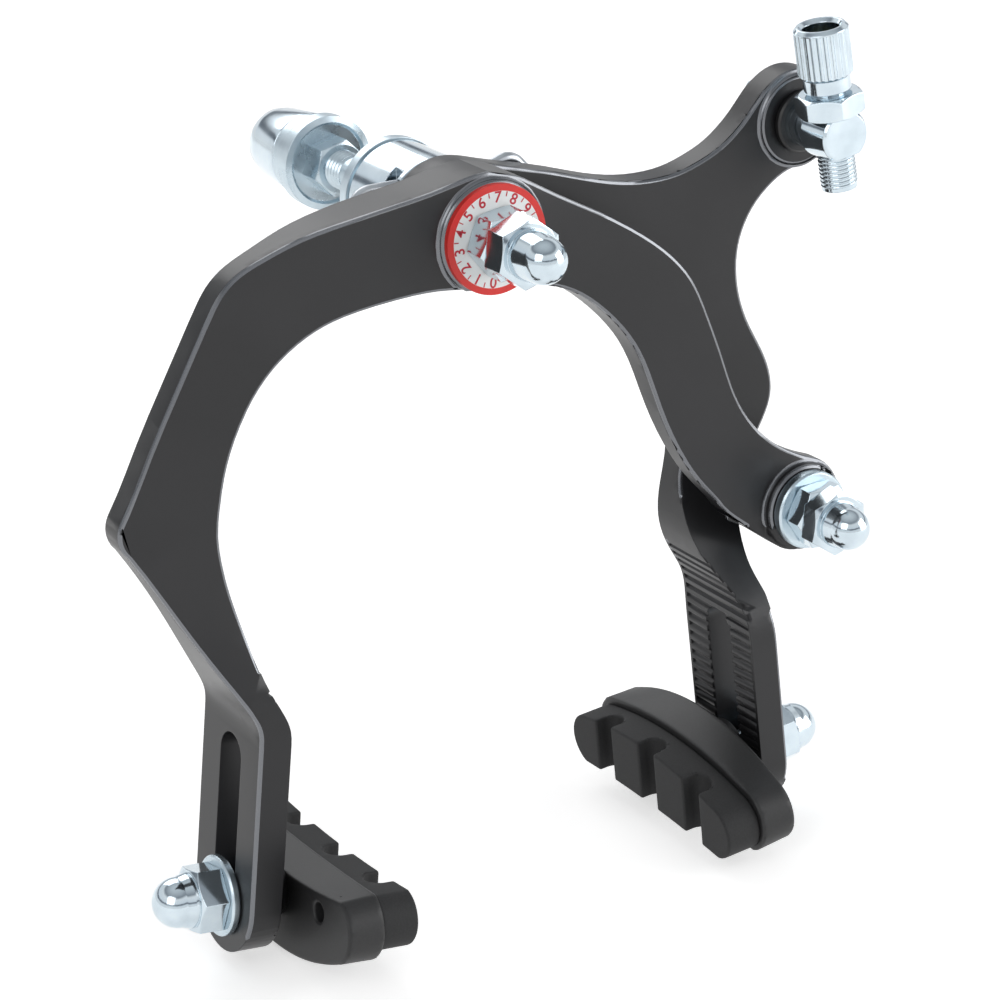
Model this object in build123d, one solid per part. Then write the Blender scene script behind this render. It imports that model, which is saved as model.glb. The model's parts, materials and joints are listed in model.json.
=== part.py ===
# Side-pull caliper brake set for a bicycle, in millimetres, +Z up.
#
# The centre bolt runs along Y. The front of the brake, with the dial and the cap nut, faces -Y, and the
# mounting hardware runs out towards +Y. The row's origin lies on the bolt's axis, in the rear face of the
# carrier washer, where a fork crown or a brake bridge bears. Drawing positions below are measured from the
# pivot plane at the front arm, and everything is moved back by MOUNT_Y on export.

import os
from math import sin, cos, radians, sqrt

from build123d import *

os.makedirs("parts", exist_ok=True)

# Frame
MOUNT_Y = 33.0             # rear face of the carrier washer, seen from the pivot plane

# Centre bolt and the pieces on it
SHANK_R = 3.0              # plain shank of an M6 bolt, under the arms and in the frame's hole
BOLT_R = 2.8               # mean radius of its threaded lengths
BOLT_FRONT_Y = -15.0
BOLT_REAR_Y = 70.0
ARM_BORE_R = 3.05          # both arms turn on the shank
NUT_AF = 10.0              # M6 nuts and cap nuts, across the flats
CAP_NUT_HEX = 5.0
CAP_NUT_DOME_R = 3.75
CAP_NUT_LENGTH = 12.6
PIVOT_NUT_FRONT_Y = -6.2
PIVOT_NUT_REAR_Y = -1.2
DIAL_R = 8.85
DIAL_T = 1.0
FRONT_BOSS_R = 9.3
WASHER_BETWEEN_R = 8.5
DRUM_R = 9.1
DRUM_FRONT_Y = 17.0
DRUM_REAR_Y = 31.0
CARRIER_WASHER_R = 9.4
REAR_NUT_AF = 8.6
REAR_NUT_FRONT_Y = 50.0
REAR_NUT_REAR_Y = 55.0
DISH_R = 8.1
DISH_T = 2.5
SERRATED_R = 7.6
SERRATED_T = 2.2
PLAIN_R = 7.2
PLAIN_T = 2.0
CONE_FRONT_R = PLAIN_R - 0.1
CONE_REAR_R = 4.0
CONE_LENGTH = 13.5

# Front arm
FRONT_ARM_FRONT_Y = 0.8
FRONT_ARM_HUB_BACK_Y = 10.1
FRONT_ARM_BACK_Y = 5.8
ANCHOR_X, ANCHOR_Z = 59.1, -57.9
ANCHOR_END_R = 8.3
ANCHOR_BOSS_R = 7.5
ANCHOR_BOSS_Y = -0.9
ANCHOR_BACK_Y = 3.9

# Rear arm
REAR_ARM_FRONT_Y = 10.7
REAR_ARM_BACK_Y = 16.0
REAR_ARM_BOSS_BACK_Y = 16.4
REAR_HUB_R = 9.7
HORN_X, HORN_Z = 65.4, 6.3
HORN_R = 8.6

# Legs, one at the foot of each arm
LEG_T = 5.4
LEG_FRONT_Y = -3.9
LEG_BACK_Y = 16.0
LEG_END_R = 9.9
LEG_END_W = 0.7            # centre of the round end above the stud
STUD_Y = 6.1
SLOT_W = 7.2
SLOT_TOP = 28.0            # above the stud at rest
SLOT_BOTTOM = 3.6          # below it
LEFT_LEG_X, LEFT_LEG_Z, LEFT_SPLAY = -50.6, -102.2, 7.1
RIGHT_LEG_X, RIGHT_LEG_Z, RIGHT_SPLAY = 53.3, -103.1, 5.3
RIDGE_PITCH = 1.85
RIDGE_DEPTH = 0.4
RIDGE_COUNT = 24
RIDGE_RIM = 0.6            # plain edge at either end of a groove
RIDGE_LOWEST = -4.0        # from the stud

# Pads, distances measured inwards from a leg's outer face
PAD_GAP_END = 9.45         # back of the shoe
SHOE_T = 6.5
RUBBER_T = 6.5
PAD_NEAR = -25.2           # ends, from the stud, along Y
PAD_FAR = 25.6
NOTCH_W = 4.7
NOTCH_DEPTH = 4.0
NOTCH_AT = (-13.3, 0.3, 13.9)
STUD_R = 3.0
PAD_WASHER_R = 6.6
PAD_WASHER_T = 1.5
CONE_WASHER_R = 6.2
LEFT_PAD_TILT = 2.0
RIGHT_PAD_TILT = 2.0

# Cable adjuster
EYE_Y = 0.0                # plane of the barrel's axis
EYE_R = 4.45
EYE_FRONT_Y = -3.6
EYE_BACK_Y = 3.4
EYE_NECK_R = 4.0
EYE_FLAT = 3.4             # the lock nut's seat above the eye's axis
EYE_SHANK_R = 3.0
COLLAR_R = 5.2
COLLAR_T = 1.4
BARREL_LEAN = 8.5          # towards the centre of the brake
BARREL_R = 4.55
BARREL_BASE = 10.0         # along the barrel's axis from the eye's axis
BARREL_TOP = 18.6
BARREL_FLUTES = 26
BARREL_NECK_R = 3.9
STEM_R = 2.95
STEM_END = -9.4
LOCK_NUT_T = 3.7
SOCKET_R = 3.05
SOCKET_DEPTH = 6.4
CABLE_HOLE_R = 1.1
SEAT_R = 2.4
SEAT_T = 1.6

# Cable anchor
ANCHOR_WASHER_R = 6.8
ANCHOR_WASHER_T = 2.0
ANCHOR_NUT_T = 4.0
CABLE_R = 0.85
CABLE_OFFSET = 4.3

# Return spring
WIRE_R = 1.0
WIRE_Y = 18.55
WIRE_BEND_R = 3.2
PIN_R = 1.9
FRONT_PIN = (-45.3, -13.2) # x and z of the pin on each arm
REAR_PIN = (48.75, -38.6)


def save(part, name):
    """Moves a piece to the row frame and writes it."""
    solids = part.solids() if hasattr(part, "solids") else [part]
    shape = Pos(0, -MOUNT_Y, 0) * (solids[0] if len(solids) == 1 else Compound(solids))
    shape.label = name
    export_step(shape, f"parts/{name}.step")
    print(f"{name:22s} solids {len(solids)}  volume {sum(s.volume for s in solids):9.1f}")


def cyl_y(r, y0, y1, x=0.0, z=0.0):
    """A cylinder along Y from y0 to y1."""
    return Pos(x, (y0 + y1) / 2, z) * Rot(90, 0, 0) * Cylinder(r, abs(y1 - y0))


def hex_y(af, y0, y1, x=0.0, z=0.0, turn=0.0, chamfer_front=True, chamfer_back=False):
    """A hexagonal prism along Y with its corners turned down as on a real nut."""
    body = RegularPolygon(af / sqrt(3), 6, rotation=turn)
    solid = extrude(Plane(origin=(x, y1, z), x_dir=(1, 0, 0), z_dir=(0, -1, 0)) * body, amount=y1 - y0)
    corner = af / sqrt(3)
    fall = (corner - af / 2) * 0.62
    pts = [(0, y0)]
    if chamfer_front:
        pts += [(af / 2 * 0.97, y0), (corner + 0.02, y0 + fall + 0.02)]
    else:
        pts += [(corner + 0.02, y0)]
    if chamfer_back:
        pts += [(corner + 0.02, y1 - fall - 0.02), (af / 2 * 0.97, y1)]
    else:
        pts += [(corner + 0.02, y1)]
    pts += [(0, y1)]
    turned = revolve(make_face(Polyline(*pts, close=True)), Axis.Y)
    return solid & (Pos(x, 0, z) * turned)


def turned_y(pts, x=0.0, z=0.0):
    """A solid of revolution about an axis along Y, from (radius, y) pairs."""
    return Pos(x, 0, z) * revolve(make_face(Polyline(*pts, close=True)), Axis.Y)


def prism_y(sketch, y0, y1):
    """Extrudes a sketch drawn in X and Z from y0 to y1."""
    return extrude(Plane(origin=(0, y1, 0), x_dir=(1, 0, 0), z_dir=(0, -1, 0)) * sketch, amount=y1 - y0)


def prism_x(sketch, x0, x1):
    """Extrudes a sketch drawn in Y and Z from x0 to x1."""
    return extrude(Plane(origin=(x0, 0, 0), x_dir=(0, 1, 0), z_dir=(1, 0, 0)) * sketch, amount=x1 - x0)


def prism_z(sketch, z0, z1):
    """Extrudes a sketch drawn in X and Y from z0 to z1."""
    return extrude(Plane(origin=(0, 0, z0), x_dir=(1, 0, 0), z_dir=(0, 0, 1)) * sketch, amount=z1 - z0)


def leg_plane(side, t=0.0, w=0.0):
    """Frame on a leg's outer face at the stud. Local x is Y of the row, local y runs up the leg, local z
    points inwards, through the leg. t moves it inwards, w up the leg."""
    if side == "left":
        a, x, z, s = radians(LEFT_SPLAY), LEFT_LEG_X, LEFT_LEG_Z, -1
    else:
        a, x, z, s = radians(RIGHT_SPLAY), RIGHT_LEG_X, RIGHT_LEG_Z, 1
    inward = Vector(-s * cos(a), 0, -sin(a))
    up = Vector(-s * sin(a), 0, cos(a))
    origin = Vector(x, STUD_Y, z) + inward * t + up * w
    across = Vector(0, 1, 0) if s < 0 else Vector(0, -1, 0)
    return Plane(origin=origin, x_dir=across, z_dir=inward)


def leg_points(side, ws, t=0.0):
    """Points (x, z) of a leg's face at heights ws above the stud."""
    if side == "left":
        a, x, z, s = radians(LEFT_SPLAY), LEFT_LEG_X, LEFT_LEG_Z, -1
    else:
        a, x, z, s = radians(RIGHT_SPLAY), RIGHT_LEG_X, RIGHT_LEG_Z, 1
    return [(x - s * t * cos(a) - s * w * sin(a), z - t * sin(a) + w * cos(a)) for w in ws]


def leg_cutter(side):
    """What bounds a leg from below: a round end, seen from the side, open upwards."""
    mirror = 1 if side == "left" else -1
    half = (LEG_BACK_Y - LEG_FRONT_Y) / 2
    mid = ((LEG_BACK_Y + LEG_FRONT_Y) / 2 - STUD_Y) * mirror
    keep = Rectangle(60, 160).moved(Location((0, 80 + LEG_END_W)))
    keep = keep + Pos(mid, LEG_END_W) * Circle(half)
    return extrude(leg_plane(side, t=-40) * keep, amount=200)


def slot_cutter(side):
    """The slot through a leg."""
    length = SLOT_TOP + SLOT_BOTTOM
    face = Pos(0, (SLOT_TOP - SLOT_BOTTOM) / 2) * Rot(0, 0, 90) * SlotOverall(length, SLOT_W)
    return extrude(leg_plane(side, t=-12) * face, amount=30)


def grip(side, curve):
    """The grip grooves across a leg's inner face. They follow its straight part and the bend above it."""
    turn = 1 if side == "right" else -1
    foot = Vector(*leg_points(side, (RIDGE_LOWEST,), LEG_T)[0])
    top = curve @ 0
    run = (top - foot).length
    grooves = Sketch()
    for i in range(RIDGE_COUNT):
        s = i * RIDGE_PITCH
        if s < run:
            t = (top - foot).normalized()
            p = foot + t * s
        else:
            u = (s - run) / curve.length
            p, t = curve @ u, curve % u
        n = Vector(-t.Y, t.X) * turn
        corners = [(RIDGE_DEPTH, 0.66), (-RIDGE_DEPTH, 0.3), (-RIDGE_DEPTH, -0.3), (RIDGE_DEPTH, -0.66)]
        points = [p + n * a + t * b for a, b in corners]
        grooves = grooves + make_face(Polyline(*[(q.X, q.Y) for q in points], close=True))
    return prism_y(grooves, LEG_FRONT_Y + RIDGE_RIM, LEG_BACK_Y - RIDGE_RIM)


# Front arm
#
# Its outline is drawn in X and Z. What it is deep from front to back changes along it: deep at the hub,
# thinner along the sweep, and wide again in the leg, which carries the pad's slot.

front_top = [(0.0, 10.4), (-8.7, 9.0), (-17.5, 7.7), (-26.1, 6.6), (-33.0, 5.4), (-39.6, 3.4), (-44.0, 1.5),
             (-46.8, -0.9), (-48.9, -4.0), (-51.6, -8.6), (-54.8, -14.2), (-57.9, -19.6), (-60.9, -25.2),
             (-63.4, -30.0), (-65.3, -33.2)]
front_knee = (-65.9, -36.0)
front_under_knee = [(-64.6, -38.9), (-62.2, -42.8), (-60.0, -46.6), (-57.3, -51.4), (-54.8, -55.9),
                    (-52.3, -60.3), (-49.9, -64.4), (-48.0, -67.8), (-47.0, -70.4)]
front_inner = [(-41.65, -71.6), (-42.6, -68.6), (-43.9, -65.7), (-45.0, -62.5), (-46.4, -56.4),
               (-48.0, -49.4), (-49.2, -42.6), (-49.4, -38.6), (-48.8, -34.2), (-46.9, -27.0),
               (-44.6, -22.0), (-41.3, -17.0), (-37.5, -13.3), (-33.8, -10.9), (-29.5, -9.1), (-23.5, -7.9),
               (-16.4, -7.3), (-9.4, -7.3), (-2.6, -8.2), (4.5, -8.9), (11.5, -10.3), (16.0, -12.5),
               (19.9, -15.6), (23.4, -19.3), (26.1, -23.1), (28.0, -27.0), (29.6, -31.4), (31.2, -35.9),
               (33.2, -40.6), (35.4, -44.8), (38.3, -49.2), (42.2, -53.9), (46.4, -58.2), (50.4, -61.4),
               (54.1, -64.3)]
front_outer_right = [(61.9, -50.1), (58.3, -48.5), (54.2, -46.0), (50.6, -42.7), (47.6, -38.6),
                     (45.4, -34.0), (43.4, -28.1), (41.6, -23.1), (39.7, -18.2), (37.6, -13.9),
                     (35.0, -10.5), (31.3, -7.0), (27.3, -4.0), (20.1, 0.5), (12.8, 4.5), (6.6, 8.2),
                     (0.0, 10.4)]


def front_outline():
    out_leg = leg_points("left", (28.8, -12.0))
    in_leg = leg_points("left", (-12.0, 28.0), LEG_T)
    a = Spline(*front_top, tangents=((-1, -0.05), (-1, -1.6)))
    b = ThreePointArc(front_top[-1], front_knee, front_under_knee[0])
    c = Spline(*(front_under_knee + [out_leg[0]]), tangents=((1, -1.62), (out_leg[1][0] - out_leg[0][0],
                                                                         out_leg[1][1] - out_leg[0][1])))
    d = Polyline(out_leg[0], out_leg[1], in_leg[0], in_leg[1])
    e = Spline(*([in_leg[1]] + front_inner), tangents=((in_leg[1][0] - in_leg[0][0], in_leg[1][1] - in_leg[0][1]),
                                                       (1, -0.75)))
    far = (ANCHOR_X + ANCHOR_END_R * 0.90, ANCHOR_Z - ANCHOR_END_R * 0.43)
    f = ThreePointArc(front_inner[-1], far, front_outer_right[0])
    g = Spline(*front_outer_right, tangents=((-1, 0.36), (-1, 0.3)))
    return make_face(Wire([a, b, c, d.edges()[0], d.edges()[1], d.edges()[2], e, f, g])), e


outline, front_inner_edge = front_outline()

# Seen from the side, the left half comes forward into the leg and runs back behind it.
side_front = make_face(Wire([
    Line((60, 40), (FRONT_ARM_FRONT_Y, 40)),
    Line((FRONT_ARM_FRONT_Y, 40), (FRONT_ARM_FRONT_Y, -46)),
    Spline((FRONT_ARM_FRONT_Y, -46), (-1.3, -59.5), (LEG_FRONT_Y, -72), tangents=((0, -1), (0, -1))),
    Line((LEG_FRONT_Y, -72), (LEG_FRONT_Y, -130)),
    Line((LEG_FRONT_Y, -130), (60, -130)),
    Line((60, -130), (60, 40)),
]))
side_back = make_face(Wire([
    Line((-40, -38), (FRONT_ARM_BACK_Y, -38)),
    Spline((FRONT_ARM_BACK_Y, -38), (7.0, -49.0), (13.3, -63.5), (LEG_BACK_Y, -73),
           tangents=((0.02, -1), (0, -1))),
    Line((LEG_BACK_Y, -73), (LEG_BACK_Y, -130)),
    Line((LEG_BACK_Y, -130), (-40, -130)),
    Line((-40, -130), (-40, -38)),
]))
plan_left = make_face(Wire([
    Line((0.5, -40), (0.5, FRONT_ARM_HUB_BACK_Y)),
    Line((0.5, FRONT_ARM_HUB_BACK_Y), (-16, FRONT_ARM_HUB_BACK_Y)),
    Spline((-16, FRONT_ARM_HUB_BACK_Y), (-30.5, 8.3), (-46, FRONT_ARM_BACK_Y), tangents=((-1, 0), (-1, 0))),
    Line((-46, FRONT_ARM_BACK_Y), (-90, FRONT_ARM_BACK_Y)),
    Line((-90, FRONT_ARM_BACK_Y), (-90, -40)),
    Line((-90, -40), (0.5, -40)),
]))
plan_right = make_face(Wire([
    Line((0, -40), (0, FRONT_ARM_HUB_BACK_Y)),
    Line((0, FRONT_ARM_HUB_BACK_Y), (9, FRONT_ARM_HUB_BACK_Y)),
    Spline((9, FRONT_ARM_HUB_BACK_Y), (19, 7.9), (30, FRONT_ARM_BACK_Y - 0.2), tangents=((1, 0), (1, -0.05))),
    Line((30, FRONT_ARM_BACK_Y - 0.2), (48, ANCHOR_BACK_Y)),
    Line((48, ANCHOR_BACK_Y), (90, ANCHOR_BACK_Y)),
    Line((90, ANCHOR_BACK_Y), (90, -40)),
    Line((90, -40), (0, -40)),
]))

full = prism_y(outline, -8, 20)
left_half = full & prism_x(side_front, -90, 0.2)
left_half = (left_half & prism_z(plan_left, -75, 30)) + (left_half & prism_x(side_back, -90, 0.2))
right_half = prism_y(outline, FRONT_ARM_FRONT_Y, 20) & prism_z(plan_right, -90, 30)
front_arm = left_half + right_half
front_arm = front_arm & leg_cutter("left")
front_arm = front_arm + (cyl_y(FRONT_BOSS_R, -0.15, FRONT_ARM_FRONT_Y + 0.5) & full)
front_arm = front_arm + cyl_y(ANCHOR_BOSS_R, ANCHOR_BOSS_Y, FRONT_ARM_FRONT_Y + 0.5, ANCHOR_X, ANCHOR_Z)
front_arm = front_arm - cyl_y(ARM_BORE_R, -20, 30)
front_arm = front_arm - cyl_y(STUD_R + 0.1, -20, 30, ANCHOR_X, ANCHOR_Z)
front_arm = front_arm - slot_cutter("left") - grip("left", front_inner_edge)
cable_line = Pos(ANCHOR_X + CABLE_OFFSET, ANCHOR_BOSS_Y, ANCHOR_Z) * Cylinder(CABLE_R, 40)
front_arm = front_arm - cable_line

front_arm = front_arm - cyl_y(PIN_R - 0.4, 3.0, 12.0, *FRONT_PIN)
front_arm = front_arm - cyl_y(PIN_R + 0.5, FRONT_ARM_BACK_Y, 12.0, *FRONT_PIN)

# Rear arm
#
# Hub, horn and lower branch lie behind the front arm. The leg comes forward under the front arm's end.

rear_top = [(0.0, REAR_HUB_R), (5.8, 8.5), (11.6, 6.9), (18.9, 4.9), (26.4, 2.5), (32.1, 1.2), (37.9, 0.8),
            (42.0, 1.2), (45.9, 2.3), (49.7, 3.9), (52.8, 6.0), (55.6, 8.6), (57.9, 11.2), (60.6, 13.4)]
rear_right = [(69.6, -1.2), (66.9, -1.6), (63.6, -2.3), (60.0, -4.2), (56.9, -7.0), (54.8, -10.2),
              (53.5, -14.0), (53.2, -18.0), (54.0, -23.2), (56.0, -28.3), (58.6, -33.3), (60.1, -38.0),
              (60.1, -41.3), (58.6, -45.2), (55.4, -50.5), (51.6, -56.8), (50.0, -61.0), (49.5, -64.6),
              (49.7, -68.0), (50.6, -71.6)]
rear_inner = [(45.7, -75.2), (44.6, -71.4), (42.6, -67.6), (41.0, -64.2), (40.1, -60.4), (40.2, -56.6),
              (41.0, -52.4), (41.7, -48.4), (41.4, -42.0), (39.6, -35.2), (36.4, -28.2), (31.6, -21.2),
              (25.0, -15.2), (17.0, -11.4), (9.0, -10.2), (0.0, -REAR_HUB_R)]


def rear_outline():
    out_leg = leg_points("right", (28.0, -12.0))
    in_leg = leg_points("right", (-12.0, 24.5), LEG_T)
    a = Spline(*rear_top, tangents=((1, -0.02), (1, 0.62)))
    far = (HORN_X + HORN_R * 0.93, HORN_Z + HORN_R * 0.37)
    b = ThreePointArc(rear_top[-1], far, rear_right[0])
    c = Spline(*(rear_right + [out_leg[0]]), tangents=((-1, -0.1), (out_leg[1][0] - out_leg[0][0],
                                                                   out_leg[1][1] - out_leg[0][1])))
    d = Polyline(out_leg[0], out_leg[1], in_leg[0], in_leg[1])
    e = Spline(*([in_leg[1]] + rear_inner[1:]), tangents=((in_leg[1][0] - in_leg[0][0],
                                                           in_leg[1][1] - in_leg[0][1]), (-1, 0.02)))
    f = ThreePointArc(rear_inner[-1], (-REAR_HUB_R, 0.0), rear_top[0])
    return make_face(Wire([a, b, c, d.edges()[0], d.edges()[1], d.edges()[2], e, f])), e


rear_side = make_face(Wire([
    Line((REAR_ARM_BACK_Y, 40), (REAR_ARM_FRONT_Y, 40)),
    Line((REAR_ARM_FRONT_Y, 40), (REAR_ARM_FRONT_Y, -50)),
    Spline((REAR_ARM_FRONT_Y, -50), (8.6, -56.5), (-0.8, -71.5), (LEG_FRONT_Y, -80),
           tangents=((0, -1), (0, -1))),
    Line((LEG_FRONT_Y, -80), (LEG_FRONT_Y, -130)),
    Line((LEG_FRONT_Y, -130), (REAR_ARM_BACK_Y, -130)),
    Line((REAR_ARM_BACK_Y, -130), (REAR_ARM_BACK_Y, 40)),
]))
outline, rear_inner_edge = rear_outline()
rear_arm = prism_y(outline, -8, 20) & prism_x(rear_side, -20, 90)
rear_arm = rear_arm & leg_cutter("right")
rear_arm = rear_arm + cyl_y(REAR_HUB_R - 0.6, REAR_ARM_FRONT_Y + 1, REAR_ARM_BOSS_BACK_Y)
rear_arm = rear_arm + cyl_y(7.65, REAR_ARM_FRONT_Y - 0.6, REAR_ARM_FRONT_Y + 1, HORN_X, HORN_Z)
rear_arm = rear_arm - cyl_y(ARM_BORE_R, -20, 30)
rear_arm = rear_arm - cyl_y(EYE_SHANK_R + 0.05, -20, 30, HORN_X, HORN_Z)
rear_arm = rear_arm - slot_cutter("right") - grip("right", rear_inner_edge)
rear_arm = rear_arm - cyl_y(PIN_R - 0.4, 12.6, 20.0, *REAR_PIN)


save(front_arm, "front_arm")
save(rear_arm, "rear_arm")

# Centre bolt with what is fixed to it

center_bolt = cyl_y(BOLT_R, BOLT_FRONT_Y, BOLT_REAR_Y)
center_bolt = center_bolt + cyl_y(SHANK_R, 0, DRUM_FRONT_Y) + cyl_y(SHANK_R, MOUNT_Y, REAR_NUT_FRONT_Y)
save(center_bolt, "center_bolt")

dial_face = cyl_y(DIAL_R, PIVOT_NUT_REAR_Y, PIVOT_NUT_REAR_Y + DIAL_T) - cyl_y(BOLT_R + 0.05, -20, 20)
save(dial_face, "dial_disc")

pivot_nut = hex_y(NUT_AF, PIVOT_NUT_FRONT_Y, PIVOT_NUT_REAR_Y, turn=8, chamfer_back=True)
pivot_nut = pivot_nut - cyl_y(BOLT_R, -40, 40)
save(pivot_nut, "pivot_nut")


def cap_nut(y0, length, dome_r, turn, x=0.0, z=0.0, hexagon=CAP_NUT_HEX, depth=8.8, bore=STUD_R):
    """A domed cap nut, its flat end at y0 and its dome towards -Y."""
    body = hex_y(NUT_AF, y0 - hexagon, y0, x, z, turn=turn)
    tip = y0 - length
    straight = tip + dome_r
    profile = make_face(Wire([
        Line((0, y0 - hexagon + 1.0), (dome_r + 0.35, y0 - hexagon + 1.0)),
        Line((dome_r + 0.35, y0 - hexagon + 1.0), (dome_r + 0.35, y0 - hexagon - 0.6)),
        Line((dome_r + 0.35, y0 - hexagon - 0.6), (dome_r, straight)),
        ThreePointArc((dome_r, straight), (dome_r * 0.7071, straight - dome_r * 0.7071), (0.3, tip + 0.012)),
        Line((0.3, tip + 0.012), (0, tip + 0.012)),
        Line((0, tip + 0.012), (0, y0 - hexagon + 1.0)),
    ]))
    body = body + Pos(x, 0, z) * revolve(profile, Axis.Y)
    return body - cyl_y(bore, y0 - depth, y0 + 1, x, z)


front_cap = cap_nut(PIVOT_NUT_FRONT_Y - 0.02, CAP_NUT_LENGTH, CAP_NUT_DOME_R, 22, depth=abs(BOLT_FRONT_Y) - 6.2,
                    bore=BOLT_R)
save(front_cap, "front_cap_nut")

arm_washer = cyl_y(WASHER_BETWEEN_R, FRONT_ARM_HUB_BACK_Y + 0.05, REAR_ARM_FRONT_Y - 0.05) - cyl_y(ARM_BORE_R, 0, 30)
save(arm_washer, "arm_washer")
rear_pivot_washer = cyl_y(8.0, REAR_ARM_BOSS_BACK_Y + 0.05, DRUM_FRONT_Y) - cyl_y(ARM_BORE_R, 0, 30)
save(rear_pivot_washer, "rear_pivot_washer")

drum = cyl_y(DRUM_R, DRUM_FRONT_Y, DRUM_REAR_Y)
drum = chamfer(drum.edges().filter_by(GeomType.CIRCLE), 0.5)
drum = drum - Pos(0, WIRE_Y, 5.3) * Box(40, 2 * WIRE_R + 0.1, 2 * WIRE_R + 0.1)
drum = drum - Pos(-6.6, 19.9, 6.2) * Box(3.0, 2.8, 6.0)
drum = drum - cyl_y(BOLT_R, 0, 60)
save(drum, "spring_carrier")

carrier_washer = cyl_y(CARRIER_WASHER_R, DRUM_REAR_Y, MOUNT_Y) - cyl_y(ARM_BORE_R, 0, 60)
save(carrier_washer, "carrier_washer")

# Mounting hardware behind the gap where the bicycle's fork crown or bridge goes

rear_nut = hex_y(REAR_NUT_AF, REAR_NUT_FRONT_Y, REAR_NUT_REAR_Y, turn=14) - cyl_y(BOLT_R + 0.05, 0, 80)
save(rear_nut, "rear_nut")

y = REAR_NUT_REAR_Y
dish = turned_y([(0, y), (6.6, y), (7.0, y - 0.6), (DISH_R, y - 0.3), (DISH_R, y + DISH_T), (0, y + DISH_T)])
dish = dish - cyl_y(BOLT_R + 0.15, 0, 80)
save(dish, "dished_washer")
y += DISH_T
serrated = turned_y([(0, y), (SERRATED_R - 0.3, y), (SERRATED_R, y + 0.3), (SERRATED_R, y + SERRATED_T - 0.3),
                     (SERRATED_R - 0.3, y + SERRATED_T), (0, y + SERRATED_T)]) - cyl_y(BOLT_R + 0.15, 0, 80)
save(serrated, "lock_washer")
y += SERRATED_T
plain = turned_y([(0, y), (PLAIN_R - 0.2, y), (PLAIN_R, y + 0.2), (PLAIN_R, y + PLAIN_T - 0.2),
                  (PLAIN_R - 0.2, y + PLAIN_T), (0, y + PLAIN_T)]) - cyl_y(BOLT_R + 0.15, 0, 80)
save(plain, "plain_washer")
y += PLAIN_T
cone = turned_y([(0, y), (CONE_FRONT_R, y), (CONE_FRONT_R, y + 0.8), (CONE_REAR_R + 0.5, y + CONE_LENGTH - 1.2),
                 (CONE_REAR_R - 0.3, y + CONE_LENGTH - 0.2), (CONE_REAR_R - 1.2, y + CONE_LENGTH), (0, y + CONE_LENGTH)])
cone = cone - cyl_y(BOLT_R + 0.05, 0, BOLT_REAR_Y + 0.6)
save(cone, "cone_nut")

# Cable anchor on the front arm's end

ax, az = ANCHOR_X, ANCHOR_Z
front_face = ANCHOR_BOSS_Y - ANCHOR_WASHER_T
anchor_bolt = cyl_y(STUD_R, front_face - ANCHOR_NUT_T - 6.0, ANCHOR_BACK_Y, ax, az)
anchor_bolt = anchor_bolt + hex_y(NUT_AF, ANCHOR_BACK_Y, ANCHOR_BACK_Y + 3.2, ax, az, turn=10, chamfer_front=False, chamfer_back=True)
save(anchor_bolt, "anchor_bolt")
anchor_washer = cyl_y(ANCHOR_WASHER_R, front_face, ANCHOR_BOSS_Y, ax, az)
anchor_washer = chamfer(anchor_washer.edges().filter_by(GeomType.CIRCLE), 0.3)
anchor_washer = anchor_washer - cyl_y(STUD_R + 0.1, -20, 20, ax, az) - cable_line
save(anchor_washer, "anchor_washer")
anchor_nut = hex_y(NUT_AF, front_face - ANCHOR_NUT_T, front_face, ax, az, turn=3, chamfer_back=True)
anchor_nut = anchor_nut - cyl_y(STUD_R, -40, 40, ax, az)
save(anchor_nut, "anchor_nut")
anchor_cap = cap_nut(front_face - ANCHOR_NUT_T - 0.02, 9.6, 3.65, 24, ax, az, hexagon=3.6, depth=6.0)
save(anchor_cap, "anchor_cap_nut")

# Cable adjuster on the rear arm's horn. It is drawn upright at the eye and leant over at the end.

lean = Pos(HORN_X - 0.5, EYE_Y, HORN_Z) * Rot(0, -BARREL_LEAN, 0)


def cyl_z(r, z0, z1):
    return Pos(0, 0, (z0 + z1) / 2) * Cylinder(r, z1 - z0)


def hex_z(af, z0, z1, turn=0.0):
    """A hexagonal nut along the barrel's axis."""
    prism = extrude(Plane(origin=(0, 0, z0)) * RegularPolygon(af / sqrt(3), 6, rotation=turn), amount=z1 - z0)
    corner = af / sqrt(3)
    fall = (corner - af / 2) * 0.62
    pts = [(0, z0), (af / 2 * 0.97, z0), (corner + 0.02, z0 + fall), (corner + 0.02, z1 - fall), (af / 2 * 0.97, z1), (0, z1)]
    turned = revolve(Plane.XZ * make_face(Polyline(*pts, close=True)), Axis.Z)
    return prism & turned


eye = cyl_y(EYE_R, EYE_FRONT_Y, EYE_BACK_Y, HORN_X - 0.5, HORN_Z)
eye = chamfer(eye.edges().filter_by(GeomType.CIRCLE), 0.4)
eye = eye & (lean * Pos(0, 0, 0) * Box(30, 30, 2 * EYE_FLAT))
neck = cyl_y(EYE_NECK_R, EYE_BACK_Y - 1.5, REAR_ARM_FRONT_Y - 0.6 - COLLAR_T - 0.05, HORN_X, HORN_Z)
eye = eye + (neck - lean * cyl_z(NUT_AF / sqrt(3) + 0.3, EYE_FLAT, EYE_FLAT + 6))
eye = eye + cyl_y(EYE_SHANK_R, EYE_BACK_Y, REAR_ARM_BACK_Y + 5.4, HORN_X, HORN_Z)
eye = eye - lean * cyl_z(STEM_R + 0.05, -20, 20)
save(eye, "adjuster_eye")
collar = cyl_y(COLLAR_R, REAR_ARM_FRONT_Y - 0.6 - COLLAR_T - 0.05, REAR_ARM_FRONT_Y - 0.65, HORN_X, HORN_Z)
collar = chamfer(collar.edges().filter_by(GeomType.CIRCLE), 0.35) - cyl_y(EYE_SHANK_R, 0, 30, HORN_X, HORN_Z)
save(collar, "adjuster_collar")
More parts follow.
